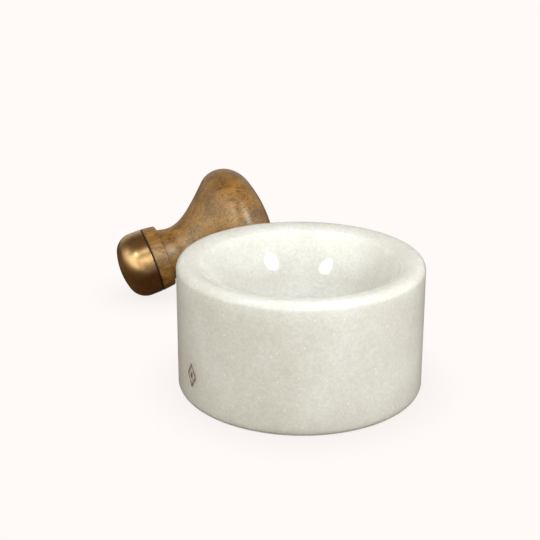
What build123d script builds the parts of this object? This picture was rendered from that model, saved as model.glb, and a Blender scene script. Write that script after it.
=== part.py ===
from build123d import *
import os
from math import acos, asin, atan2, cos, degrees, hypot, radians, sin

# Mortar and pestle: a thick marble bowl, and a turned wooden pestle with a brass cap on
# its narrow end, lying on the same surface behind the bowl. Millimetres, +Z up. The origin
# is the centre of the bowl's underside, and the bowl's front faces -Y.

# bowl
bowl_height = 70.0
foot_radius = 65.5
rim_radius = 65.0
rim_rounding = 4.2
foot_rounding = 2.9
rim_top_radius = 60.5  # where the rim is highest; inside this it slopes down to the lip
rim_crown_radius = 14.9
lip_rounding = 2.5
hollow_radius = 54.0  # the hollow is part of a ball
hollow_depth = 43.1

# engraved mark on the bowl's side, a plain diamond, filled with brown
mark_angle = 59.0  # from the front towards -X
mark_height = 18.0
mark_width = 8.5
mark_length = 13.5
mark_stroke = 0.85
mark_heart = 0.3  # size of the small diamond in the middle, as a share of the whole
mark_depth = 0.5
mark_blank = 4.0  # flat blank of the strokes, thick enough to pass through the curved skin
fill_below_surface = 0.15
cut_clearance = 1.0

# pestle, measured along its axis from the brass end, s = 0, to the end of the bell
pestle_length = 102.0
cap_length = 20.7
cap_radius = 21.1
cap_crown_radius = 42.0
cap_corner_radius = 12.0
seam_thickness = 0.5
seam_inset = 0.5
collar_width = 9.0
collar_end_radius = 20.3
collar_rounding = 1.4
neck_root_radius = 17.3
neck_radius = 15.7
neck_at = 38.6
flank_radius = 24.0
flank_at = 56.5
bell_radius = 40.2
shoulder_radius = 15.0
shoulder_angle = 42.0
bell_corner_radius = 17.1
bell_crown_radius = 80.0
edge_break = 0.4

# joint between the cap and the wood
tenon_radius = 12.0
tenon_length = 9.0
glue_gap = 0.1
stud_radius = 3.0
stud_in_cap = 7.0
stud_in_wood = 22.0
stud_point = 2.5

# where the pestle lies, and which way its bell points
cap_end_x = -112.3
cap_end_y = 121.6
pestle_turn = 18.2  # from +X towards +Y


def corner_sweep(crown_radius, corner_radius, wall_radius):
    """Degrees that a corner arc turns between a straight wall and the crown arc it meets."""
    return degrees(acos((wall_radius - corner_radius) / (crown_radius - corner_radius)))


def corner_centre_depth(crown_radius, corner_radius, wall_radius):
    """How far the corner arc's centre lies from the crown's apex, along the axis."""
    sweep = radians(corner_sweep(crown_radius, corner_radius, wall_radius))
    return crown_radius - (crown_radius - corner_radius) * sin(sweep)


def rounded_end(apex, outward, crown_radius, corner_radius, wall_radius):
    """Arcs from a wall round to the axis, closing a turned end whose apex is at s = apex."""
    sweep = corner_sweep(crown_radius, corner_radius, wall_radius)
    depth = corner_centre_depth(crown_radius, corner_radius, wall_radius)
    corner_centre = (wall_radius - corner_radius, apex - outward * depth)
    crown_centre = (0, apex - outward * crown_radius)
    CenterArc(corner_centre, corner_radius, 0, outward * sweep)
    CenterArc(crown_centre, crown_radius, outward * sweep, outward * (90 - sweep))


def circles_meet(first, first_radius, second, second_radius):
    """The upper point where two circles in the (radius, height) plane cross."""
    apart = second - first
    share = (first_radius**2 - second_radius**2 + apart.length**2) / (2 * apart.length)
    rise = Vector(-apart.Y, apart.X).normalized() * (first_radius**2 - share**2) ** 0.5
    return first + apart.normalized() * share + rise


def side_radius(height):
    """Radius of the bowl's slightly tapered side at a height."""
    return foot_radius + (rim_radius - foot_radius) * height / bowl_height


def mark_band(outer_depth, inner_depth):
    """The mark's strokes between two depths under the bowl's side, as a solid."""
    turn = radians(mark_angle)
    outward = Vector(-sin(turn), -cos(turn), 0)
    across = Vector(cos(turn), -sin(turn), 0)
    middle = outward * (foot_radius + cut_clearance) + Vector(0, 0, mark_height)
    low = mark_height - mark_length
    high = mark_height + mark_length
    with BuildPart() as band:
        with BuildSketch(Plane(origin=middle, x_dir=across, z_dir=outward)):
            with BuildLine():
                Polyline(
                    (0, mark_length / 2),
                    (mark_width / 2, 0),
                    (0, -mark_length / 2),
                    (-mark_width / 2, 0),
                    close=True,
                )
            whole = make_face()
            offset(amount=-mark_stroke, mode=Mode.SUBTRACT)
            add(scale(whole, by=mark_heart, mode=Mode.PRIVATE))
        extrude(amount=-mark_blank)
        with BuildSketch(Plane.XZ):
            with BuildLine():
                Polyline(
                    (side_radius(low) - inner_depth, low),
                    (side_radius(low) - outer_depth, low),
                    (side_radius(high) - outer_depth, high),
                    (side_radius(high) - inner_depth, high),
                    close=True,
                )
            make_face()
        revolve(axis=Axis.Z, mode=Mode.INTERSECT)
    return band.part


# The pestle rests on its cap's corner arc and on its bell's shoulder arc, so its tilt is
# that of the line that touches both arcs.
cap_corner_r = cap_radius - cap_corner_radius
cap_corner_s = corner_centre_depth(cap_crown_radius, cap_corner_radius, cap_radius)
shoulder_r = bell_radius - shoulder_radius
bell_at = pestle_length - corner_centre_depth(bell_crown_radius, bell_corner_radius, bell_radius)
rise = shoulder_r - cap_corner_r
run = bell_at - cap_corner_s
tilt = atan2(rise, run) + asin((shoulder_radius - cap_corner_radius) / hypot(rise, run))
cap_end_z = cap_corner_r * cos(tilt) - cap_corner_s * sin(tilt) + cap_corner_radius

turn = radians(pestle_turn)
cap_end = Vector(cap_end_x, cap_end_y, cap_end_z)
along = Vector(cos(tilt) * cos(turn), cos(tilt) * sin(turn), sin(tilt))
sideways = Vector(-sin(turn), cos(turn), 0)
pestle_axis = Axis(cap_end, along)
# in this plane a point is (radius, s)
pestle_section = Plane(origin=cap_end, x_dir=sideways, z_dir=sideways.cross(along))

collar_at = cap_length + seam_thickness
neck_root_at = collar_at + collar_width
tenon_at = collar_at - tenon_length
socket_radius = tenon_radius + glue_gap
socket_at = tenon_at - glue_gap
stud_hole_radius = stud_radius + glue_gap / 2
stud_top_at = tenon_at - stud_in_cap
stud_end_at = tenon_at + stud_in_wood

engraving = mark_band(-cut_clearance, mark_depth)
filling = mark_band(fill_below_surface, mark_depth)

os.makedirs("parts", exist_ok=True)

# The rim's crown arc and the hollow's ball are joined by the lip's small arc, which touches
# both of them.
ball_centre = Vector(0, bowl_height - hollow_depth + hollow_radius)
crown_centre = Vector(rim_top_radius, bowl_height - rim_crown_radius)
lip_centre = circles_meet(
    ball_centre,
    hollow_radius + lip_rounding,
    crown_centre,
    rim_crown_radius - lip_rounding,
)
to_lip = lip_centre - crown_centre
to_ball = ball_centre - lip_centre
lip_start = degrees(atan2(to_lip.Y, to_lip.X))
lip_end = degrees(atan2(to_ball.Y, to_ball.X))

# Marble bowl: one turned block with a polished, ball-shaped hollow.
with BuildPart() as marble_bowl:
    with BuildSketch(Plane.XZ):
        with BuildLine():
            axis_line = Line((0, bowl_height - hollow_depth), (0, 0))
            underside = Line(axis_line @ 1, (foot_radius, 0))
            side = Line(underside @ 1, (rim_radius, bowl_height))
            Line(side @ 1, (rim_top_radius, bowl_height))
            CenterArc(crown_centre, rim_crown_radius, 90, lip_start - 90)
            CenterArc(lip_centre, lip_rounding, lip_start, lip_end - lip_start)
            CenterArc(ball_centre, hollow_radius, lip_end - 180, 90 - lip_end)
        make_face()
    revolve(axis=Axis.Z)
    circles = edges().filter_by(GeomType.CIRCLE)
    fillet(circles.group_by(Axis.Z)[-1].sort_by(SortBy.RADIUS)[-1], rim_rounding)
    circles = edges().filter_by(GeomType.CIRCLE)
    fillet(circles.group_by(Axis.Z)[0].sort_by(SortBy.RADIUS)[-1], foot_rounding)
    add(engraving, mode=Mode.SUBTRACT)
marble_bowl.part.label = "marble_bowl"
export_step(marble_bowl.part, "parts/marble_bowl.step")

# Engraving fill: brown filler in the strokes, just below the stone's surface.
with BuildPart() as engraving_fill:
    add(filling)
engraving_fill.part.label = "engraving_fill"
export_step(engraving_fill.part, "parts/engraving_fill.step")

# Wooden pestle: tenon, collar, waisted neck and the wide grinding bell, turned in one piece.
with BuildPart() as wooden_pestle:
    with BuildSketch(pestle_section):
        with BuildLine():
            Polyline(
                (0, pestle_length),
                (0, tenon_at),
                (tenon_radius, tenon_at),
                (tenon_radius, collar_at),
                (cap_radius, collar_at),
                (collar_end_radius, neck_root_at),
                (neck_root_radius, neck_root_at),
            )
            shoulder = CenterArc(
                (shoulder_r, bell_at), shoulder_radius, -shoulder_angle, shoulder_angle
            )
            Spline(
                (neck_root_radius, neck_root_at),
                (neck_radius, neck_at),
                (flank_radius, flank_at),
                shoulder @ 0,
                tangents=((-0.3, 1), shoulder % 0),
            )
            rounded_end(pestle_length, 1, bell_crown_radius, bell_corner_radius, bell_radius)
        make_face()
    revolve(axis=pestle_axis)
    rings = edges().filter_by(GeomType.CIRCLE)
    fillet(rings.filter_by(lambda ring: abs(ring.radius - collar_end_radius) < 0.01), collar_rounding)
    rings = edges().filter_by(GeomType.CIRCLE)
    chamfer(rings.filter_by(lambda ring: abs(ring.radius - cap_radius) < 0.01), edge_break)
    with BuildSketch(pestle_section):
        with BuildLine():
            Polyline(
                (0, tenon_at),
                (stud_hole_radius, tenon_at),
                (stud_hole_radius, stud_end_at - stud_point),
                (0, stud_end_at + glue_gap),
                close=True,
            )
        make_face()
    revolve(axis=pestle_axis, mode=Mode.SUBTRACT)
wooden_pestle.part.label = "wooden_pestle"
export_step(wooden_pestle.part, "parts/wooden_pestle.step")

# Brass cap: a solid knob with a socket for the tenon and a blind hole for the stud.
with BuildPart() as brass_cap:
    with BuildSketch(pestle_section):
        with BuildLine():
            Line((cap_radius, cap_corner_s), (cap_radius, cap_length))
            Polyline(
                (cap_radius, cap_length),
                (socket_radius, cap_length),
                (socket_radius, socket_at),
                (stud_hole_radius, socket_at),
                (stud_hole_radius, stud_top_at),
                (0, stud_top_at),
                (0, 0),
            )
            rounded_end(0, -1, cap_crown_radius, cap_corner_radius, cap_radius)
        make_face()
    revolve(axis=pestle_axis)
    rings = edges().filter_by(GeomType.CIRCLE)
    rim = rings.filter_by(lambda ring: abs(ring.radius - cap_radius) < 0.01).sort_by(pestle_axis)[-1]
    fillet(rim, edge_break)
brass_cap.part.label = "brass_cap"
export_step(brass_cap.part, "parts/brass_cap.step")

# Cap stud: the hidden threaded rod that holds the cap on the tenon.
with BuildPart() as cap_stud:
    with BuildSketch(pestle_section):
        with BuildLine():
            Polyline(
                (0, stud_top_at + glue_gap),
                (stud_radius, stud_top_at + glue_gap),
                (stud_radius, stud_end_at - stud_point),
                (0, stud_end_at),
                close=True,
            )
        make_face()
    revolve(axis=pestle_axis)
cap_stud.part.label = "cap_stud"
export_step(cap_stud.part, "parts/cap_stud.step")

# Seam adhesive: the dark line of glue between the cap's rim and the wooden collar.
with BuildPart() as seam_adhesive:
    with BuildSketch(pestle_section):
        with BuildLine():
            Polyline(
                (socket_radius, cap_length),
                (cap_radius - seam_inset, cap_length),
                (cap_radius - seam_inset, collar_at),
                (socket_radius, collar_at),
                close=True,
            )
        make_face()
    revolve(axis=pestle_axis)
seam_adhesive.part.label = "seam_adhesive"
export_step(seam_adhesive.part, "parts/seam_adhesive.step")
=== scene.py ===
from math import acos, atan2, cos, degrees, hypot, pi, radians, sin

import bmesh
import bpy
import numpy as np
from mathutils import Matrix, Vector, noise


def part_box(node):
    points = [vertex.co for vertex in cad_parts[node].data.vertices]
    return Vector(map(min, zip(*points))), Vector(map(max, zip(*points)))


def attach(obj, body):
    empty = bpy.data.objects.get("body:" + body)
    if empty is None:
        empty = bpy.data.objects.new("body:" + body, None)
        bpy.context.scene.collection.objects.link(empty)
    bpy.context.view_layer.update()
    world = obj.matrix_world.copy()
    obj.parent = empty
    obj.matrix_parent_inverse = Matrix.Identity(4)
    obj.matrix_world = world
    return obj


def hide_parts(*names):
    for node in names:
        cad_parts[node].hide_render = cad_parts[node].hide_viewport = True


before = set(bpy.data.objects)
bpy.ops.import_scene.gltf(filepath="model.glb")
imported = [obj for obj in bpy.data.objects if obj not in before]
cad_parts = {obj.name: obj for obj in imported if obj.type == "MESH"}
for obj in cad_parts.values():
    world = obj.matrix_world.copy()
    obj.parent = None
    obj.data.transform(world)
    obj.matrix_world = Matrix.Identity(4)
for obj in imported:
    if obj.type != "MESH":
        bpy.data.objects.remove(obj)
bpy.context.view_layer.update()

MM = 0.001

# ---------------------------------------------------------------- the bowl's sizes, as in the CAD
bowl_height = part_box("marble_bowl")[1].z
foot_radius = 65.5 * MM
rim_radius = 65.0 * MM
rim_rounding = 4.2 * MM
foot_rounding = 2.9 * MM
rim_top_radius = 60.5 * MM
rim_crown_radius = 14.9 * MM
lip_rounding = 2.5 * MM
hollow_radius = 54.0 * MM
hollow_depth = 43.1 * MM

# ---------------------------------------------------------------- the pestle's sizes, as in the CAD
pestle_length = 102.0 * MM
cap_length = 20.7 * MM
cap_radius = 21.1 * MM
cap_crown_radius = 42.0 * MM
cap_corner_radius = 12.0 * MM
seam_thickness = 0.5 * MM
collar_width = 9.0 * MM
collar_end_radius = 20.3 * MM
collar_rounding = 1.4 * MM
neck_root_radius = 17.3 * MM
neck_root_slope = (-0.3, 1)
neck_radius = 15.7 * MM
neck_at = 38.6 * MM
flank_radius = 24.0 * MM
flank_at = 56.5 * MM
bell_radius = 40.2 * MM
shoulder_radius = 15.0 * MM
shoulder_angle = 42.0
bell_corner_radius = 17.1 * MM
bell_crown_radius = 80.0 * MM
tenon_radius = 12.0 * MM
tenon_length = 9.0 * MM
glue_gap = 0.1 * MM
stud_hole_radius = 3.05 * MM
stud_hole_point = 2.5 * MM
stud_in_cap = 7.0 * MM
stud_in_wood = 22.0 * MM
edge_break = 0.4 * MM

# ---------------------------------------------------------------- detail that only the looks need
same_point = 1e-3 * MM
on_axis = 1e-4 * MM
unevenness = 0.04 * MM
unevenness_scale = 55
crease_angle = 35
mark_face_depth = 0.3 * MM
mark_cutter_reach = 1.0 * MM
ring_centre = Vector((-75.0, 30.0, 0)) * MM  # the tree's heart, beside the pestle's axis
ring_wander = 22 * MM
rings_per_metre = 330
wood_seam_width = 0.9 * MM
brass_seam_width = 0.7 * MM
seam_line_width = 0.1 * MM

# ---------------------------------------------------------------- camera, lamps, room and floor
# Metres and degrees, with the lens and the sensor in millimetres.
camera_place = (-0.01604, -0.52005, 0.25386)
camera_pitch = 20.161
camera_lens = 70.5
camera_sensor = 36.0
lamp_distance = 0.50
lamp_width = 0.115
lamp_height = 0.155
lamp_colour = (0.96, 1.0, 1.0)
right_lamp = {"azimuth": 47.4, "elevation": 48.5, "watts": 1.15}
left_lamp = {"azimuth": -49.5, "elevation": 54.1, "watts": 0.46}
room_lights = [(0, 1.24), (180, 0.4), (-57, 1.5), (72, 1.2)]  # azimuth and strength of each
room_light_edge = 0.55  # cosine of the angle to a room light's middle where it starts
room_light_full = 0.94  # and where it reaches its strength
room_light_all_round = 0.10
room_light_top = 48  # degrees of elevation where the room lights end
room_light_full_below = 30
wall_light = 0.15
floor_reach = 4.0
contact_reach = 0.03
contact_shade = 0.86

# ---------------------------------------------------------------- colours, linear
paper_colour = (1.0, 0.956, 0.93, 1)
table_colour = (0.15, 0.095, 0.05, 1)
room_colour = (0.95, 1.0, 0.93, 1)
wall_colour = (1.0, 0.65, 0.35, 1)
marble_grey = (0.745, 0.735, 0.700, 1)
marble_white = (0.83, 0.83, 0.81, 1)
marble_fleck = (0.32, 0.29, 0.24, 1)
marble_crystal_and_glint = (1, 1, 0.98, 1)
wood_brown = (0.10, 0.033, 0.003, 1)
wood_tan = (0.40, 0.197, 0.045, 1)
wood_late_ring = (0.11, 0.036, 0.004, 1)
wood_fibre = (0.56, 0.33, 0.12, 1)
wood_pore = (0.025, 0.009, 0.003, 1)
wood_seam = (0.020, 0.008, 0.003, 1)
wood_sheen = (1.0, 0.93, 0.66, 1)
oil_tint = (1.0, 0.94, 0.82, 1)
brass_bright = (0.74, 0.50, 0.24, 1)
brass_patina = (0.44, 0.22, 0.065, 1)
brass_ring = (0.36, 0.16, 0.04, 1)
brass_seam = (0.030, 0.013, 0.004, 1)
filler_dark = (0.15, 0.046, 0.003, 1)
filler_light = (0.32, 0.125, 0.012, 1)
adhesive_dark = (0.006, 0.003, 0.002, 1)
adhesive_light = (0.02, 0.01, 0.006, 1)
zinc_dark = (0.45, 0.45, 0.46, 1)
zinc_light = (0.62, 0.62, 0.63, 1)


# ---------------------------------------------------------------- camera, lamps and floor
def place_in_scene(name, data):
    """A new object with this data, in the scene."""
    made = bpy.data.objects.new(name, data)
    bpy.context.scene.collection.objects.link(made)
    return made


def new_camera():
    data = bpy.data.cameras.new("camera")
    data.lens = camera_lens
    data.sensor_width = camera_sensor
    data.dof.use_dof = False
    camera = place_in_scene("camera", data)
    camera.location = camera_place
    camera.rotation_euler = (radians(90 - camera_pitch), 0, 0)
    bpy.context.scene.camera = camera


def new_lamp(name, azimuth, elevation, watts):
    """An upright oval softbox that faces the origin. Azimuth 0 is the camera's side, and it grows
    to the right."""
    data = bpy.data.lights.new(name, "AREA")
    data.shape = "ELLIPSE"
    data.size = lamp_width
    data.size_y = lamp_height
    data.energy = watts
    data.color = lamp_colour
    a, e = radians(azimuth), radians(elevation)
    towards = Vector((sin(a) * cos(e), -cos(a) * cos(e), sin(e)))
    lamp = place_in_scene(name, data)
    lamp.location = towards * lamp_distance
    lamp.rotation_euler = towards.to_track_quat("Z", "Y").to_euler()


def new_floor():
    r = floor_reach
    mesh = bpy.data.meshes.new("floor")
    mesh.from_pydata([(-r, -r, 0), (r, -r, 0), (r, r, 0), (-r, r, 0)], [], [(0, 1, 2, 3)])
    mesh.materials.append(paper_material())
    return place_in_scene("floor", mesh)


# ---------------------------------------------------------------- node helpers
def empty_tree(owner):
    """The node tree of a material or world, with nothing in it."""
    owner.use_nodes = True
    owner.node_tree.nodes.clear()
    return owner.node_tree


def set_or_link(tree, socket, value):
    if isinstance(value, bpy.types.NodeSocket):
        tree.links.new(value, socket)
    else:
        socket.default_value = value


def add(tree, kind, values=None, **settings):
    """A new node. Values go to its inputs by name or number, and a socket is linked."""
    made = tree.nodes.new(kind)
    for key, value in settings.items():
        setattr(made, key, value)
    for key, value in (values or {}).items():
        set_or_link(tree, made.inputs[key], value)
    return made


def plug(tree, shader, **sockets):
    """Sets or links a shader's inputs, with _ for each space in a name."""
    for key, value in sockets.items():
        set_or_link(tree, shader.inputs[key.replace("_", " ")], value)


def maths(tree, operation, *values):
    """The result of a sum on numbers or sockets."""
    return add(tree, "ShaderNodeMath", dict(enumerate(values)), operation=operation).outputs[0]


def spread(tree, value, low, high, to_low=0.0, to_high=1.0):
    """Maps low..high onto to_low..to_high, and holds it there."""
    values = {0: value, 1: low, 2: high, 3: to_low, 4: to_high}
    return add(tree, "ShaderNodeMapRange", values).outputs[0]


def between(tree, pattern, low, high):
    """Maps a pattern of 0 to 1 onto low..high."""
    return maths(tree, "MULTIPLY_ADD", pattern, high - low, low)


def mix(tree, factor, first, second, how="MIX"):
    """A blend of two colours."""
    values = {0: factor, 6: first, 7: second}
    return add(tree, "ShaderNodeMix", values, data_type="RGBA", blend_type=how).outputs[2]


def stretched(tree, coordinates, scale):
    """Scaled coordinates: a number below 1 draws a pattern out along that axis."""
    values = {"Vector": coordinates, "Scale": scale}
    return add(tree, "ShaderNodeMapping", values).outputs[0]


def distance(tree, coordinates):
    """Distance from the coordinates' origin."""
    values = {0: coordinates}
    return add(tree, "ShaderNodeVectorMath", values, operation="LENGTH").outputs["Value"]


def cloud(tree, coordinates, scale, detail, roughness, distortion=0.0):
    """Soft noise of 0 to 1."""
    values = {
        "Vector": coordinates,
        "Scale": scale,
        "Detail": detail,
        "Roughness": roughness,
        "Distortion": distortion,
    }
    return add(tree, "ShaderNodeTexNoise", values).outputs[0]


def cells(tree, coordinates, scale):
    """Voronoi cells: distance to the nearest point, and a random grey for each cell."""
    values = {"Vector": coordinates, "Scale": scale}
    node = add(tree, "ShaderNodeTexVoronoi", values)
    random = add(tree, "ShaderNodeSeparateColor", {0: node.outputs["Color"]}).outputs[0]
    return node.outputs["Distance"], random


def dots(tree, coordinates, scale, size, share):
    """1 inside small dots scattered over a share of the cells."""
    away, random = cells(tree, coordinates, scale)
    inside = spread(tree, away, size, size * 0.5)
    chosen = maths(tree, "LESS_THAN", random, share)
    return maths(tree, "MULTIPLY", inside, chosen)


def bump(tree, height, depth, strength):
    """A relief for a shader's normal: the height pattern, over this depth in metres."""
    values = {"Height": height, "Distance": depth, "Strength": strength}
    return add(tree, "ShaderNodeBump", values).outputs[0]


def dark_edge(tree, place, colour, fades_at, full_at, share, dark):
    """Darkens along local Z: a share of the dark colour from full_at on, and none at fades_at."""
    along = add(tree, "ShaderNodeSeparateXYZ", {0: place}).outputs[2]
    near = spread(tree, along, fades_at, full_at)
    return mix(tree, maths(tree, "MULTIPLY", near, share), colour, dark)


def turned_tangent(tree):
    """The direction round the lathe's axis, which highlights stretch along or across."""
    return add(tree, "ShaderNodeTangent", direction_type="UV_MAP", uv_map="turned").outputs[0]


def new_material(name, place=None):
    """A Principled material and its coordinates, which are those inside place if that is given."""
    material = bpy.data.materials.new(name)
    tree = empty_tree(material)
    shader = add(tree, "ShaderNodeBsdfPrincipled")
    add(tree, "ShaderNodeOutputMaterial", {0: shader.outputs[0]})
    coordinates = add(tree, "ShaderNodeTexCoord").outputs["Object"]
    if place is not None:
        inside = place.inverted()
        values = {
            "Vector": coordinates,
            "Location": inside.translation,
            "Rotation": inside.to_euler(),
        }
        coordinates = add(tree, "ShaderNodeMapping", values).outputs[0]
    return material, tree, shader, coordinates


# ---------------------------------------------------------------- materials
def marble_material():
    """Polished white marble: cloudy patches, crystal grain, white crystal dots that are also
    painted glints of crystal facets catching the lamps, and a few dark flecks. The outside is less
    polished than the hollow and the rim."""
    material, tree, shader, place = new_material("white_marble")
    patches = cloud(tree, place, 22, detail=4, roughness=0.55, distortion=0.4)
    colour = mix(tree, spread(tree, patches, 0.35, 0.65), marble_grey, marble_white)
    mottle = between(tree, cloud(tree, place, 340, detail=4, roughness=0.65), 0.935, 1.065)
    grain = between(tree, cells(tree, place, 900)[1], 0.95, 1.05)
    fine = maths(tree, "MULTIPLY", mottle, grain)
    grey = add(tree, "ShaderNodeCombineColor", {0: fine, 1: fine, 2: fine}).outputs[0]
    colour = mix(tree, 1.0, colour, grey, "MULTIPLY")
    flecks = dots(tree, place, 75, size=0.05, share=0.45)
    colour = mix(tree, maths(tree, "MULTIPLY", flecks, 0.5), colour, marble_fleck)
    # Whiter crystal dots in the base colour. They also stand in as painted glints of crystal facets
    # catching the lamps.
    crystals_and_glints = dots(tree, place, 230, size=0.12, share=0.5)
    colour = mix(tree, crystals_and_glints, colour, marble_crystal_and_glint)
    radius = distance(tree, stretched(tree, place, (1, 1, 0)))
    outside = spread(tree, radius, rim_radius - rim_rounding, rim_radius)
    worn = cloud(tree, place, 60, detail=3, roughness=0.6)
    roughness = between(tree, outside, 0.05, 0.21)
    roughness = maths(tree, "MULTIPLY_ADD", worn, 0.06, roughness)
    relief = cloud(tree, place, 420, detail=4, roughness=0.6)
    surface = bump(tree, relief, depth=0.02 * MM, strength=0.5)
    plug(tree, shader, Base_Color=colour, Roughness=roughness, Normal=surface, IOR=1.5)
    plug(tree, shader, Subsurface_Weight=1.0, Subsurface_Radius=(1.0, 1.0, 1.0))
    plug(tree, shader, Subsurface_Scale=0.013)
    return material


def wood_material(pestle):
    """Oiled brown hardwood. Its fibres and short dark pores run along the lathe's axis, and it
    darkens where it meets the seam."""
    material, tree, shader, place = new_material("oiled_wood", pestle)
    wander = cloud(tree, stretched(tree, place, (1, 1, 0.4)), 45, detail=4, roughness=0.6)
    values = {0: place, 1: ring_centre}
    from_centre = add(tree, "ShaderNodeVectorMath", values, operation="SUBTRACT").outputs[0]
    radius = distance(tree, stretched(tree, from_centre, (1, 1, 0.12)))
    rings = maths(tree, "MULTIPLY_ADD", wander, ring_wander, radius)
    rings = maths(tree, "FRACT", maths(tree, "MULTIPLY", rings, rings_per_metre))
    late = spread(tree, rings, 0.4, 1.0)
    along_slow = stretched(tree, place, (1, 1, 0.5))
    tone = cloud(tree, along_slow, 90, detail=5, roughness=0.7, distortion=0.3)
    colour = mix(tree, spread(tree, tone, 0.38, 0.62), wood_brown, wood_tan)
    colour = mix(tree, maths(tree, "MULTIPLY", late, 0.30), colour, wood_late_ring)
    fibre = cloud(tree, stretched(tree, place, (1, 1, 0.12)), 1500, detail=3, roughness=0.75)
    light_fibre = maths(tree, "MULTIPLY", spread(tree, fibre, 0.48, 0.62), 0.50)
    colour = mix(tree, light_fibre, colour, wood_fibre)
    pores = dots(tree, stretched(tree, place, (1, 1, 0.3)), 760, size=0.33, share=0.95)
    crowding = cloud(tree, along_slow, 130, detail=3, roughness=0.6)
    crowding = spread(tree, crowding, 0.38, 0.58, 0.55, 1.0)
    pores = maths(tree, "MULTIPLY", pores, crowding)
    colour = mix(tree, pores, colour, wood_pore)
    fades_at, full_at = collar_at + wood_seam_width, collar_at + seam_line_width
    colour = dark_edge(tree, place, colour, fades_at, full_at, 0.9, wood_seam)
    roughness = between(tree, fibre, 0.33, 0.53)
    relief = maths(tree, "SUBTRACT", fibre, pores)
    surface = bump(tree, relief, depth=0.03 * MM, strength=0.6)
    plug(tree, shader, Base_Color=colour, Roughness=roughness, Normal=surface, IOR=1.52)
    plug(tree, shader, Specular_IOR_Level=1.0, Specular_Tint=wood_sheen)
    plug(tree, shader, Anisotropic=0.65, Tangent=turned_tangent(tree))
    plug(tree, shader, Coat_Weight=1.0, Coat_Roughness=0.44, Coat_Tint=oil_tint)
    return material


def brass_material(pestle):
    """Brass turned and brushed round local Z, then handled: fine rings, brown patina, smudges
    and a few scratches, darker where it meets the seam."""
    material, tree, shader, place = new_material("satin_brass", pestle)
    turning = stretched(tree, place, (0.03, 0.03, 1))
    rings = cloud(tree, turning, 5200, detail=3, roughness=0.7)
    smudge = cloud(tree, place, 110, detail=5, roughness=0.65, distortion=0.6)
    smudge = spread(tree, smudge, 0.35, 0.68)
    colour = mix(tree, smudge, brass_bright, brass_patina)
    colour = mix(tree, maths(tree, "MULTIPLY", rings, 0.25), colour, brass_ring)
    fades_at, full_at = cap_length - brass_seam_width, cap_length - seam_line_width
    colour = dark_edge(tree, place, colour, fades_at, full_at, 0.85, brass_seam)
    scratch = cloud(tree, stretched(tree, place, (1, 1, 0.05)), 1500, detail=2, roughness=0.5)
    roughness = between(tree, smudge, 0.25, 0.35)
    roughness = maths(tree, "MULTIPLY_ADD", rings, 0.08, roughness)
    relief = maths(tree, "MULTIPLY_ADD", scratch, 0.8, rings)
    surface = bump(tree, relief, depth=0.02 * MM, strength=0.8)
    plug(tree, shader, Base_Color=colour, Roughness=roughness, Normal=surface, Metallic=1.0)
    plug(tree, shader, Anisotropic=0.6, Anisotropic_Rotation=0.25, Tangent=turned_tangent(tree))
    plug(tree, shader, Coat_Weight=1.0, Coat_Roughness=0.28)
    return material


def plain_material(name, dark, light, scale, roughness, metallic=0.0):
    """Small, mostly hidden pieces: two tones mixed by noise, with a matching fine relief."""
    material, tree, shader, place = new_material(name)
    pattern = cloud(tree, place, scale, detail=4, roughness=0.6)
    colour = mix(tree, spread(tree, pattern, 0.35, 0.65), dark, light)
    rough = between(tree, pattern, roughness, roughness + 0.15)
    surface = bump(tree, pattern, depth=0.03 * MM, strength=0.5)
    plug(tree, shader, Base_Color=colour, Roughness=rough, Normal=surface, Metallic=metallic)
    return material


def by_ray(tree, thrown, seen):
    """The first shader for light and reflections, and the second for the camera's own rays."""
    ray = add(tree, "ShaderNodeLightPath").outputs["Is Camera Ray"]
    values = {0: ray, 1: thrown.outputs[0], 2: seen.outputs[0]}
    return add(tree, "ShaderNodeMixShader", values).outputs[0]


def paper_material():
    """The floor: pale paper with a faint contact shade to look at, which throws back light as a
    brown table would."""
    material = bpy.data.materials.new("paper")
    tree = empty_tree(material)
    nearby = add(tree, "ShaderNodeAmbientOcclusion", {"Distance": contact_reach}).outputs["AO"]
    shade = spread(tree, nearby, 0.0, 1.0, contact_shade, 1.0)
    seen = add(tree, "ShaderNodeEmission", {0: paper_colour, 1: shade})
    thrown = add(tree, "ShaderNodeBsdfDiffuse", {0: table_colour})
    add(tree, "ShaderNodeOutputMaterial", {0: by_ray(tree, thrown, seen)})
    return material


def new_room():
    """A pale backdrop to look at. The light is a low band round a brown room, strongest in
    front and at the sides."""
    world = bpy.data.worlds.new("room")
    tree = empty_tree(world)
    towards = add(tree, "ShaderNodeTexCoord").outputs["Generated"]
    x, y, z = add(tree, "ShaderNodeSeparateXYZ", {0: towards}).outputs
    around = room_light_all_round
    for azimuth, strength in room_lights:
        facing = maths(tree, "MULTIPLY", x, sin(radians(azimuth)))
        facing = maths(tree, "MULTIPLY_ADD", y, -cos(radians(azimuth)), facing)
        light = spread(tree, facing, room_light_edge, room_light_full, 0.0, strength)
        around = maths(tree, "ADD", light, around)
    top, full_below = sin(radians(room_light_top)), sin(radians(room_light_full_below))
    lit = maths(tree, "MULTIPLY", spread(tree, z, top, full_below), around)
    lights = add(tree, "ShaderNodeBackground", {0: room_colour, 1: lit})
    walls = add(tree, "ShaderNodeBackground", {0: wall_colour, 1: wall_light})
    thrown = add(tree, "ShaderNodeAddShader", {0: lights.outputs[0], 1: walls.outputs[0]})
    seen = add(tree, "ShaderNodeBackground", {0: paper_colour})
    add(tree, "ShaderNodeOutputWorld", {0: by_ray(tree, thrown, seen)})
    bpy.context.scene.world = world


# ---------------------------------------------------------------- outlines, as (radius, height)
def arc(centre, radius, start, sweep, step=4.0):
    """Points along an arc, in degrees from the outward radius towards +height."""
    count = max(2, round(abs(sweep) / step))
    angles = [radians(start + sweep * i / count) for i in range(count + 1)]
    return [(centre[0] + radius * cos(a), centre[1] + radius * sin(a)) for a in angles]


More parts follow.
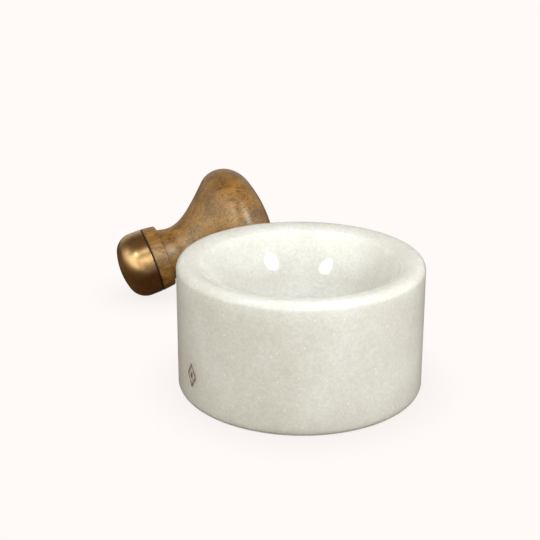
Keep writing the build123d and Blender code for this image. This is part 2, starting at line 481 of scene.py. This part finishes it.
def run(start, end, step=1.0 * MM):
    """Points along a straight run, both ends included."""
    (x, y), (end_x, end_y) = start, end
    count = max(1, round(hypot(end_x - x, end_y - y) / step))
    shares = [i / count for i in range(count + 1)]
    return [(x + (end_x - x) * share, y + (end_y - y) * share) for share in shares]


def spline(points, start_slope, end_slope, per_span=14):
    """Cubic curve through points, smooth to its second derivative, with given end directions."""
    p = np.array(points, float)
    t = np.concatenate([[0], np.cumsum(np.linalg.norm(np.diff(p, axis=0), axis=1))])
    h = np.diff(t)
    count = len(p)
    system = np.zeros((count, count))
    right = np.zeros((count, 2))
    system[0, 0] = system[-1, -1] = 1
    right[0] = np.array(start_slope) / hypot(*start_slope)
    right[-1] = np.array(end_slope) / hypot(*end_slope)
    for i in range(1, count - 1):
        system[i, i - 1 : i + 2] = [1 / h[i - 1], 2 / h[i - 1] + 2 / h[i], 1 / h[i]]
        right[i] = 3 * ((p[i] - p[i - 1]) / h[i - 1] ** 2 + (p[i + 1] - p[i]) / h[i] ** 2)
    slopes = np.linalg.solve(system, right)
    found = [tuple(p[0])]
    for i in range(count - 1):
        for u in np.linspace(0, 1, per_span + 1)[1:]:
            found.append(
                tuple(
                    (1 - 3 * u**2 + 2 * u**3) * p[i]
                    + (u - 2 * u**2 + u**3) * h[i] * slopes[i]
                    + (3 * u**2 - 2 * u**3) * p[i + 1]
                    + (u**3 - u**2) * h[i] * slopes[i + 1]
                )
            )
    return found


def corner_sweep(crown, corner, wall):
    """Degrees that a corner arc turns through between a straight wall and a crown arc."""
    return degrees(acos((wall - corner) / (crown - corner)))


def corner_centre_depth(crown, corner, wall):
    """How far the corner arc's centre lies below the crown's top."""
    return crown - (crown - corner) * sin(radians(corner_sweep(crown, corner, wall)))


def rounded_end(apex, outward, crown, corner, wall):
    """Wall to axis: a corner arc and the crown arc that it runs into."""
    sweep = corner_sweep(crown, corner, wall)
    depth = corner_centre_depth(crown, corner, wall)
    corner_centre = (wall - corner, apex - outward * depth)
    crown_centre = (0, apex - outward * crown)
    return (
        arc(corner_centre, corner, 0, outward * sweep)
        + arc(crown_centre, crown, outward * sweep, outward * (90 - sweep), step=1.5)
    )


def side_radius(height):
    """The bowl's outside, which tapers a little towards the rim."""
    return foot_radius + (rim_radius - foot_radius) * height / bowl_height


def circles_meet(first, first_radius, second, second_radius):
    """The upper point where two circles in the (radius, height) plane cross."""
    apart = Vector(second) - Vector(first)
    share = (first_radius**2 - second_radius**2 + apart.length_squared) / (2 * apart.length)
    rise = Vector((-apart.y, apart.x)).normalized() * (first_radius**2 - share**2) ** 0.5
    return Vector(first) + apart.normalized() * share + rise


def bowl_outline():
    """From the underside's middle round the side, rim and lip to the bottom of the hollow."""
    foot_centre = (side_radius(foot_rounding) - foot_rounding, foot_rounding)
    foot_end = (side_radius(foot_rounding), foot_rounding)
    rim_start_at = bowl_height - rim_rounding
    rim_start = (side_radius(rim_start_at), rim_start_at)
    rim_centre = (side_radius(rim_start_at) - rim_rounding, rim_start_at)
    ball_centre = (0, bowl_height - hollow_depth + hollow_radius)
    crown_centre = (rim_top_radius, bowl_height - rim_crown_radius)
    lip_centre = circles_meet(
        ball_centre, hollow_radius + lip_rounding, crown_centre, rim_crown_radius - lip_rounding
    )
    lip_start = degrees(atan2(lip_centre.y - crown_centre[1], lip_centre.x - crown_centre[0]))
    lip_end = degrees(atan2(ball_centre[1] - lip_centre.y, ball_centre[0] - lip_centre.x))
    return (
        run((0, 0), (foot_centre[0], 0), step=3 * MM)
        + arc(foot_centre, foot_rounding, -90, 90, step=6)
        + run(foot_end, rim_start, step=1.5 * MM)
        + arc(rim_centre, rim_rounding, 0, 90, step=5)
        + arc(crown_centre, rim_crown_radius, 90, lip_start - 90, step=3)
        + arc(lip_centre, lip_rounding, lip_start, lip_end - lip_start, step=5)
        + arc(ball_centre, hollow_radius, lip_end - 180, 90 - lip_end, step=1.5)
    )


collar_at = cap_length + seam_thickness
neck_root_at = collar_at + collar_width
tenon_at = collar_at - tenon_length
stud_top_at = tenon_at - stud_in_cap
stud_end_at = tenon_at + stud_in_wood
bell_at = pestle_length - corner_centre_depth(bell_crown_radius, bell_corner_radius, bell_radius)


def wood_outline():
    """From the end of the stud's hole round the tenon, collar, neck and bell to the axis."""
    shoulder_centre = (bell_radius - shoulder_radius, bell_at)
    shoulder = arc(shoulder_centre, shoulder_radius, -shoulder_angle, shoulder_angle)
    shoulder_slope = (sin(radians(shoulder_angle)), cos(radians(shoulder_angle)))
    neck = spline(
        [
            (neck_root_radius, neck_root_at),
            (neck_radius, neck_at),
            (flank_radius, flank_at),
            shoulder[0],
        ],
        neck_root_slope,
        shoulder_slope,
    )
    point_at = stud_end_at - stud_hole_point
    broken_radius = cap_radius - edge_break
    broken_at = collar_at + edge_break
    corner_radius = collar_end_radius - collar_rounding
    corner_at = neck_root_at - collar_rounding
    return (
        run((0, stud_end_at), (stud_hole_radius, point_at))
        + run((stud_hole_radius, point_at), (stud_hole_radius, tenon_at))
        + run((stud_hole_radius, tenon_at), (tenon_radius, tenon_at))
        + run((tenon_radius, tenon_at), (tenon_radius, collar_at))
        + run((tenon_radius, collar_at), (broken_radius, collar_at))
        + run((broken_radius, collar_at), (cap_radius, broken_at))
        + run((cap_radius, broken_at), (collar_end_radius, corner_at))
        + arc((corner_radius, corner_at), collar_rounding, 0, 90, step=9)
        + run((corner_radius, neck_root_at), (neck_root_radius, neck_root_at), step=0.4 * MM)
        + neck
        + shoulder
        + rounded_end(pestle_length, 1, bell_crown_radius, bell_corner_radius, bell_radius)
    )


def cap_outline():
    """From the end's middle round the wall and rim, and down the socket to the stud's hole."""
    socket = tenon_radius + glue_gap
    socket_at = tenon_at - glue_gap
    corner_at = corner_centre_depth(cap_crown_radius, cap_corner_radius, cap_radius)
    broken_radius = cap_radius - edge_break
    broken_at = cap_length - edge_break
    outside = rounded_end(0, -1, cap_crown_radius, cap_corner_radius, cap_radius)
    return (
        outside[::-1]
        + run((cap_radius, corner_at), (cap_radius, broken_at))
        + arc((broken_radius, broken_at), edge_break, 0, 90, step=15)
        + run((broken_radius, cap_length), (socket, cap_length))
        + run((socket, cap_length), (socket, socket_at))
        + run((socket, socket_at), (stud_hole_radius, socket_at))
        + run((stud_hole_radius, socket_at), (stud_hole_radius, stud_top_at))
        + [(0, stud_top_at)]
    )


# ---------------------------------------------------------------- meshes
def smooth(mesh):
    """Smooth shading, with a sharp edge wherever the surface turns more than the crease angle."""
    mesh.shade_smooth()
    mesh.set_sharp_from_angle(angle=radians(crease_angle))


def without_repeats(outline):
    """The outline without points that lie on the one before."""
    points = [outline[0]]
    for point in outline[1:]:
        if hypot(point[0] - points[-1][0], point[1] - points[-1][1]) > same_point:
            points.append(point)
    return points


def lathe(name, outline, count, place=None, wobble=None):
    """Turns an outline round local Z into a closed mesh. wobble(x, y, z) moves points outwards.

    Its UV map runs round the turning in U and along the outline in V, for turned_tangent.
    """
    shape = bmesh.new()
    layer = shape.loops.layers.uv.new("turned")
    rings = []
    for radius, height in without_repeats(outline):
        if radius < on_axis:
            rings.append([shape.verts.new((0, 0, height))])
            continue
        ring = []
        for i in range(count):
            x, y = cos(2 * pi * i / count), sin(2 * pi * i / count)
            r = radius + (wobble(x * radius, y * radius, height) if wobble else 0)
            ring.append(shape.verts.new((x * r, y * r, height)))
        rings.append(ring)
    for level, (low, high) in enumerate(zip(rings, rings[1:])):
        for i in range(count):
            j = (i + 1) % count
            corners = [
                (low[i % len(low)], (i, level)),
                (low[j % len(low)], (i + 1, level)),
                (high[j % len(high)], (i + 1, level + 1)),
                (high[i % len(high)], (i, level + 1)),
            ]
            kept = [c for k, c in enumerate(corners) if c[0] not in [d[0] for d in corners[:k]]]
            face = shape.faces.new([c[0] for c in kept])
            for loop, (_, (u, v)) in zip(face.loops, kept):
                loop[layer].uv = (u / count, v / len(rings))
    bmesh.ops.recalc_face_normals(shape, faces=shape.faces)
    mesh = bpy.data.meshes.new(name)
    shape.to_mesh(mesh)
    shape.free()
    if place is not None:
        mesh.transform(place)
    smooth(mesh)
    return place_in_scene(name, mesh)


def centroid(node):
    """Centre of volume of a closed CAD mesh."""
    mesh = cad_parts[node].data
    mesh.calc_loop_triangles()
    points = np.array([v.co for v in mesh.vertices], float)
    a, b, c = (points[[t.vertices[i] for t in mesh.loop_triangles]] for i in range(3))
    volumes = np.einsum("ij,ij->i", a, np.cross(b, c))
    return Vector((volumes[:, None] * (a + b + c)).sum(0) / (4 * volumes.sum()))


def pestle_place():
    """Where the pestle lies: local Z along its axis from the cap's end, local Y upwards."""
    cap_centre, wood_centre = centroid("brass_cap"), centroid("wooden_pestle")
    along = (wood_centre - cap_centre).normalized()
    level = Vector((-along.y, along.x, 0)).normalized()
    upward = along.cross(level)
    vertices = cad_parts["brass_cap"].data.vertices
    reach = min((vertex.co - cap_centre).dot(along) for vertex in vertices)
    place = Matrix((level, upward, along)).transposed().to_4x4()
    place.translation = cap_centre + along * reach
    return place


def engrave(bowl):
    """Cuts the mark's strokes into the bowl, as deep as the CAD filler's floor. The cutter is the
    filler with its outer face moved out past the bowl's side."""
    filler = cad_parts["engraving_fill"].data.copy()
    for vertex in filler.vertices:
        radius = hypot(vertex.co.x, vertex.co.y)
        if radius > side_radius(vertex.co.z) - mark_face_depth:
            grown = (radius + mark_cutter_reach) / radius
            vertex.co.x *= grown
            vertex.co.y *= grown
    cutter = place_in_scene("cutter", filler)
    cut = bowl.modifiers.new("engraving", "BOOLEAN")
    cut.operation = "DIFFERENCE"
    cut.solver = "EXACT"
    cut.object = cutter
    bpy.context.view_layer.update()
    cut_bowl = bowl.evaluated_get(bpy.context.evaluated_depsgraph_get())
    done = bpy.data.meshes.new_from_object(cut_bowl)
    bowl.modifiers.clear()
    bowl.data = done
    bpy.data.objects.remove(cutter)
    smooth(done)


def hand_turned(x, y, z):
    """Slight unevenness left by hand sanding, a few hundredths of a millimetre."""
    return unevenness * noise.noise(Vector((x, y, z)) * unevenness_scale)


def paint(piece, material):
    piece.data.materials.clear()
    piece.data.materials.append(material)


def finish_piece(piece, material, body, node):
    """Paints a turned piece and puts it on its body, in place of its CAD node."""
    paint(piece, material)
    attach(piece, body)
    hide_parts(node)


# ---------------------------------------------------------------- the object
new_camera()
new_room()
new_lamp("right_softbox", **right_lamp)
new_lamp("left_softbox", **left_lamp)
floor = new_floor()

bowl = lathe("marble_bowl_turned", bowl_outline(), count=256, wobble=hand_turned)
engrave(bowl)
finish_piece(bowl, marble_material(), "bowl", "marble_bowl")

place = pestle_place()
wood = lathe("wooden_pestle_turned", wood_outline(), count=192, place=place, wobble=hand_turned)
finish_piece(wood, wood_material(place), "pestle", "wooden_pestle")
cap = lathe("brass_cap_turned", cap_outline(), count=160, place=place)
finish_piece(cap, brass_material(place), "pestle", "brass_cap")

filler = plain_material("brown_filler", filler_dark, filler_light, scale=1800, roughness=0.55)
adhesive = plain_material(
    "dark_adhesive", adhesive_dark, adhesive_light, scale=1500, roughness=0.6
)
steel = plain_material(
    "zinc_steel", zinc_dark, zinc_light, scale=900, roughness=0.3, metallic=1.0
)
paint(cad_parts["engraving_fill"], filler)
paint(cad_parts["seam_adhesive"], adhesive)
paint(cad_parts["cap_stud"], steel)

bpy.context.scene.view_settings.view_transform = "Standard"
